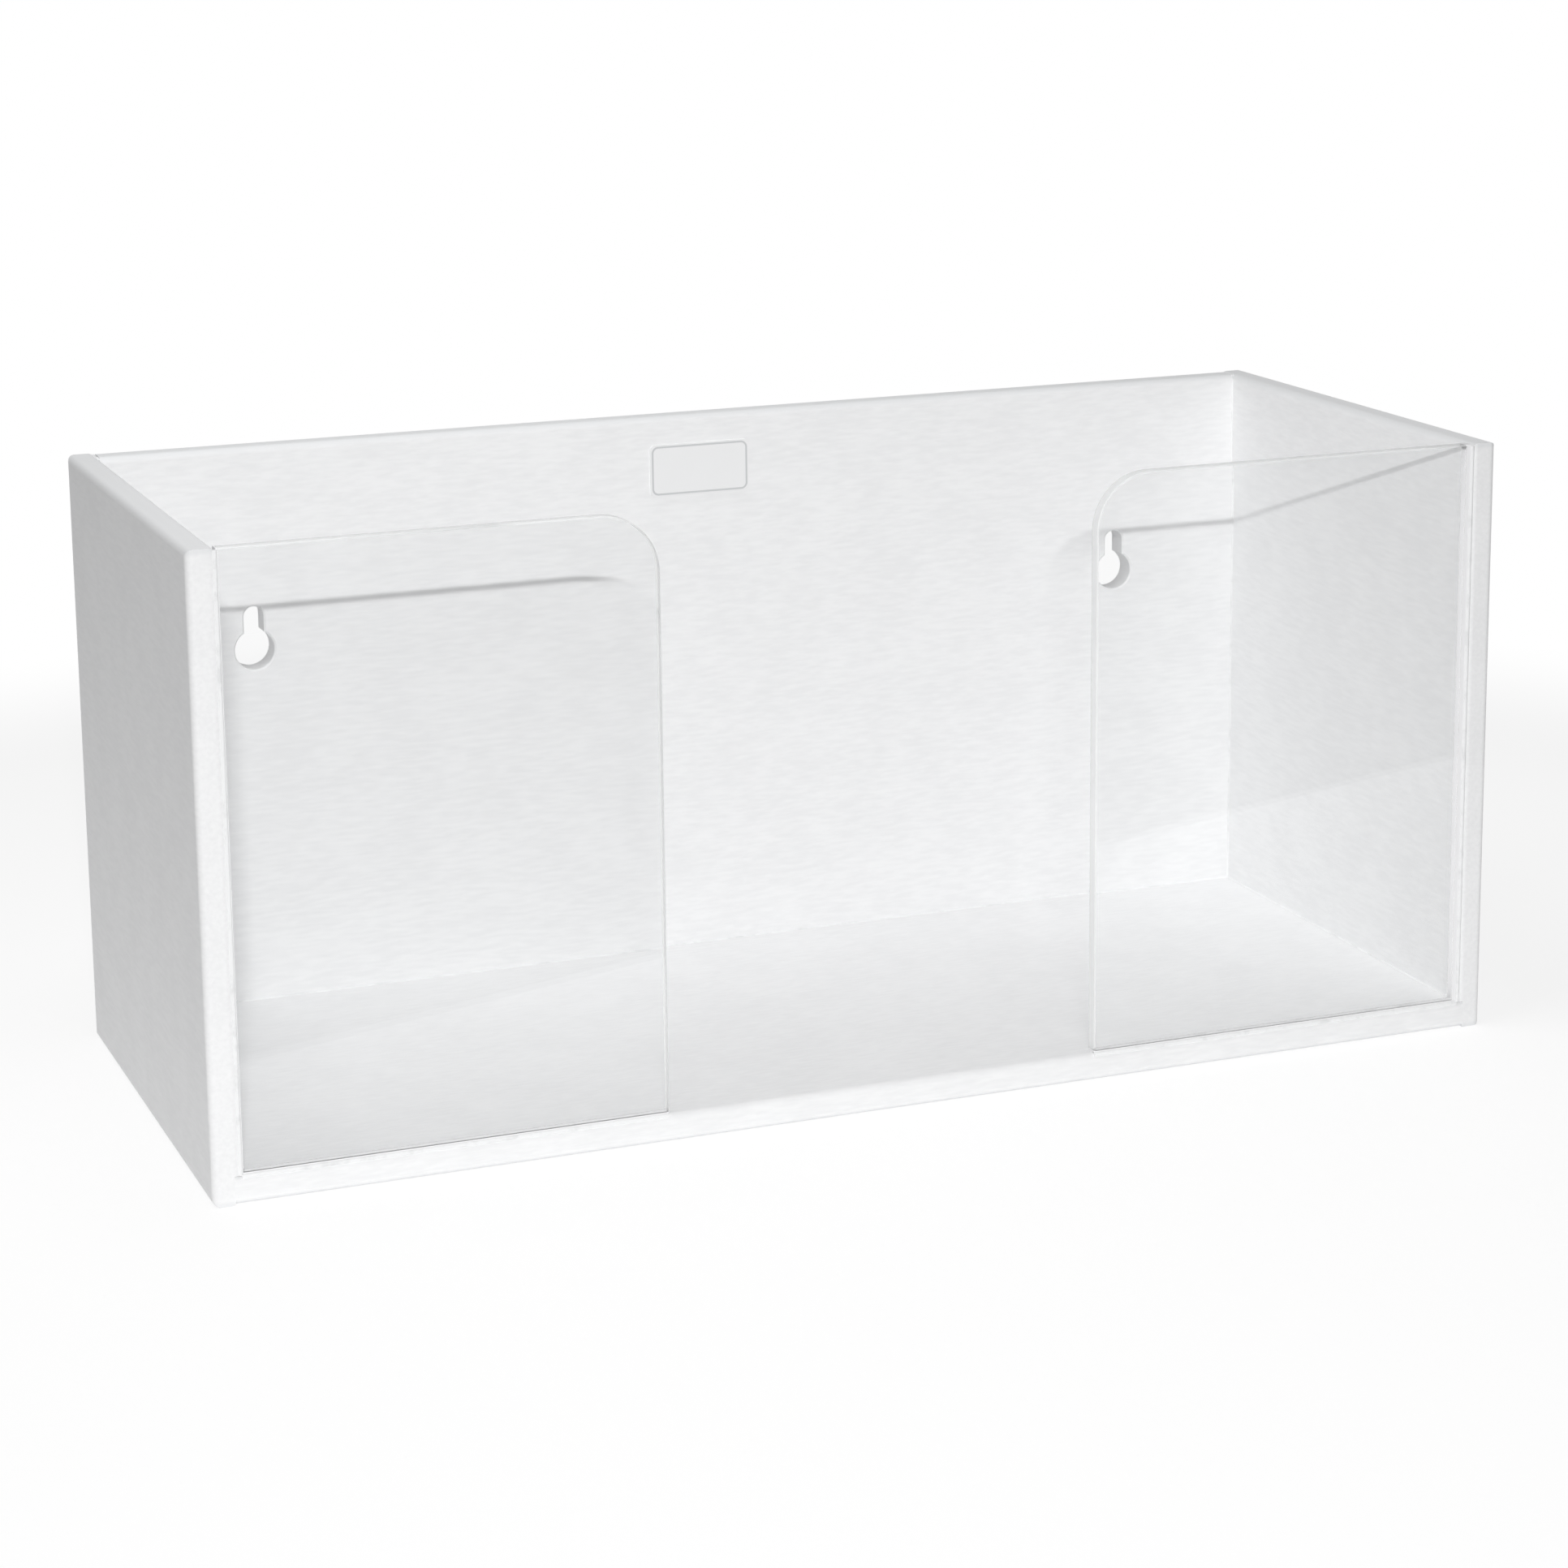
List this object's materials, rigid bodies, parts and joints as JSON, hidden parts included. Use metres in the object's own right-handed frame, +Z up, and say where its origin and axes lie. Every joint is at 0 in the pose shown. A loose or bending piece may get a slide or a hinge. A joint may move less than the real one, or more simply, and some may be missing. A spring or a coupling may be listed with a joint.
{
  "type": "glove dispenser",
  "caption": "Open-topped white bin with clear front windows, a central hand gap and keyholes in the back, for loose disposable gloves on a bench or a wall.",
  "frame": {"origin": "on the ground under the middle of the bin, at the bottom centre of its bounding box", "axes": "+X across the width to the viewer's right, +Y from the open front to the back panel, +Z up"},
  "size_m": [0.305, 0.122, 0.14],
  "materials": {
    "white_sheet": "satin white rigid plastic sheet",
    "clear_sheet": "polished clear plastic sheet",
    "label": "plain smooth plate"
  },
  "bodies": {
    "root": {"left_side": "white_sheet", "right_side": "white_sheet", "back_panel": "white_sheet", "floor_panel": "white_sheet", "left_window": "clear_sheet", "right_window": "clear_sheet", "label_plate": "label"}
  },
  "joints": []
}
